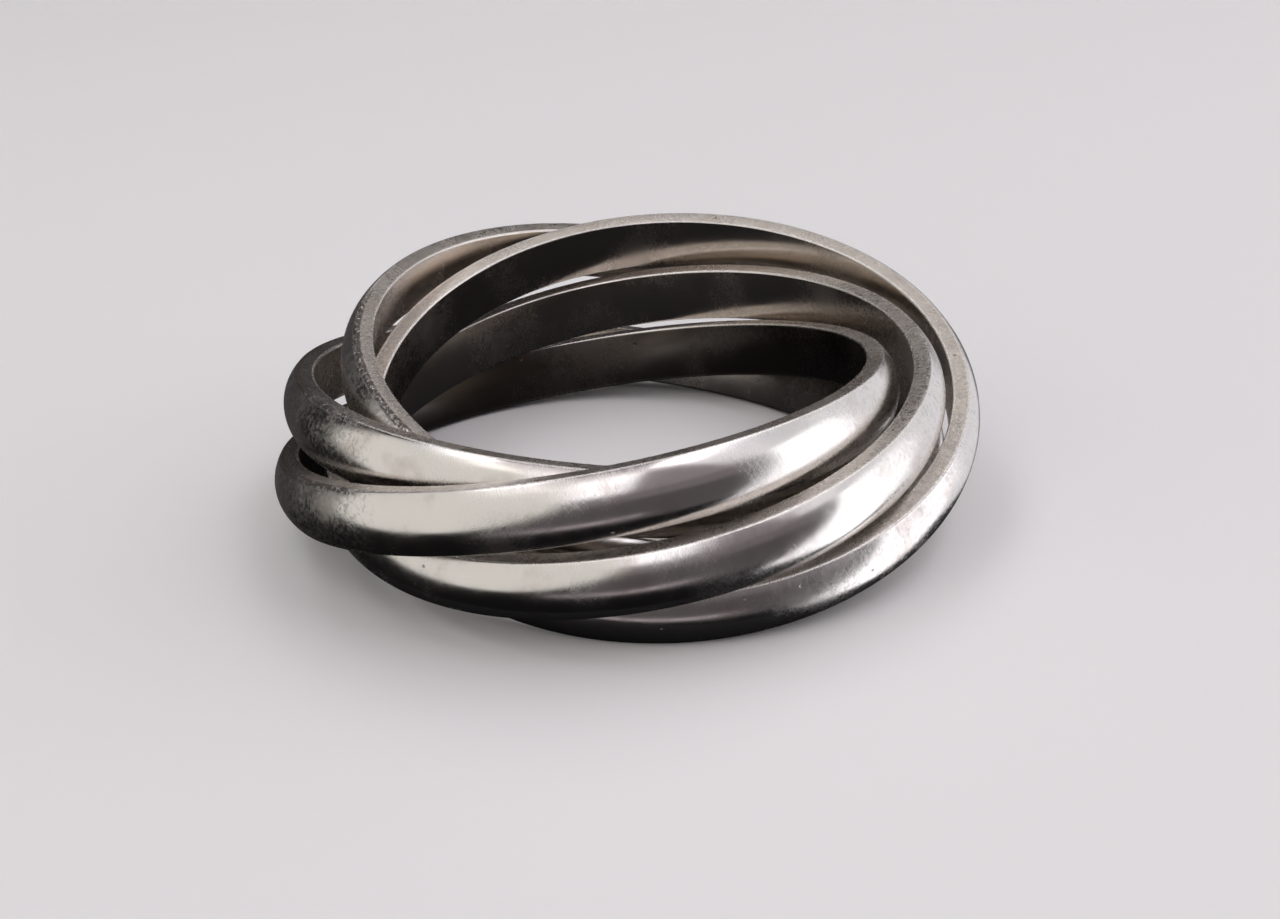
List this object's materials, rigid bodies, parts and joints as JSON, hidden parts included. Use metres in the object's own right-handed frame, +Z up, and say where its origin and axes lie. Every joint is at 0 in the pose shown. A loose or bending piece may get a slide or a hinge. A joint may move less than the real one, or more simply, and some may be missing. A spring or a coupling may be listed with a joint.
{
  "type": "puzzle ring of plain rolling bands",
  "caption": "Finger ring of equal plain silver bands, flat inside and domed outside, that pass through one another and roll freely. It lies on its side.",
  "frame": {"origin": "below the middle of the ring's outline, on the surface that it rests on", "axes": "+Z up through the finger hole, -Y towards the front as pictured, +X to the right"},
  "size_m": [0.0248, 0.024, 0.0076],
  "materials": {
    "silver": "polished silver, worn in: fine scratches, small dents along the corners, brownish tarnish in the gaps"
  },
  "bodies": {
    "band_1": {"band_1": "silver"},
    "band_2": {"band_2": "silver"},
    "band_3": {"band_3": "silver"},
    "band_4": {"band_4": "silver"},
    "band_5": {"band_5": "silver"}
  },
  "joints": [
    {"name": "band_2_turn", "type": "hinge", "parent": "band_1", "child": "band_2", "pos_m": [0.00008, -0.00099, 0.00355], "axis": [-0.1414, -0.0543, 0.9885], "continuous": true},
    {"name": "band_3_turn", "type": "hinge", "parent": "band_1", "child": "band_3", "pos_m": [0.00137, -0.00025, 0.00378], "axis": [-0.0273, -0.2602, 0.9652], "continuous": true},
    {"name": "band_4_turn", "type": "hinge", "parent": "band_1", "child": "band_4", "pos_m": [0.00076, 0.00106, 0.00378], "axis": [0.2219, -0.1386, 0.9652], "continuous": true},
    {"name": "band_5_turn", "type": "hinge", "parent": "band_1", "child": "band_5", "pos_m": [-0.00116, 0.00046, 0.00321], "axis": [0.1243, 0.1649, 0.9784], "continuous": true}
  ]
}
